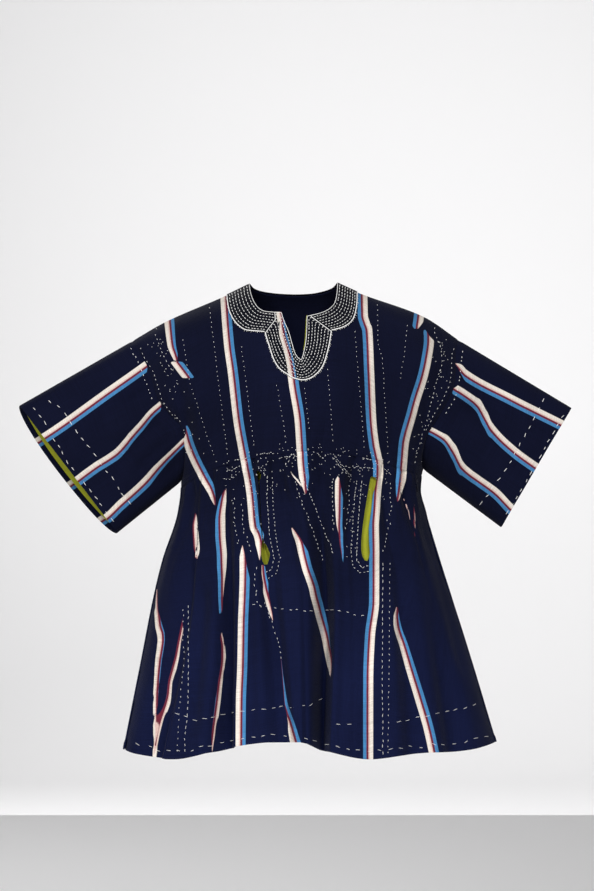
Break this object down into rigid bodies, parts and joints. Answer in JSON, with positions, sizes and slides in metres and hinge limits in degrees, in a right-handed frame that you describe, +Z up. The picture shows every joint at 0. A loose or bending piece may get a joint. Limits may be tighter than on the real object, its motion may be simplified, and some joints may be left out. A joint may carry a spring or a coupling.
{
  "type": "fugu smock",
  "caption": "Flared short-sleeved smock of handwoven striped strips in its worn shape, with a slit neck under a stitched facing, wide cuffs and pocket slits in a gathered skirt.",
  "frame": {"origin": "middle of the neck opening at shoulder height, where the wearer's shoulders hold the smock", "axes": "+Z up, -Y out of the wearer's chest, +X to the right of someone facing the wearer"},
  "size_m": [0.8848, 0.4114, 0.7506],
  "materials": {
    "navy_cloth": "matt handwoven cotton, navy with cream, red and blue stripes",
    "facing_cloth": "dark cotton with rows of white running stitch",
    "lime_cloth": "plain lime green cotton"
  },
  "bodies": {
    "root": {"front_bodice": "navy_cloth", "back_bodice": "navy_cloth", "skirt_front": "navy_cloth", "skirt_back": "navy_cloth", "sleeve_left": "navy_cloth", "sleeve_right": "navy_cloth", "cuff_facing_left": "lime_cloth", "cuff_facing_right": "lime_cloth", "neck_facing_left": "facing_cloth", "neck_facing_centre": "facing_cloth", "neck_facing_right": "facing_cloth", "neck_facing_back": "facing_cloth", "pocket_bag_left": "lime_cloth", "pocket_bag_right": "lime_cloth"}
  },
  "joints": []
}
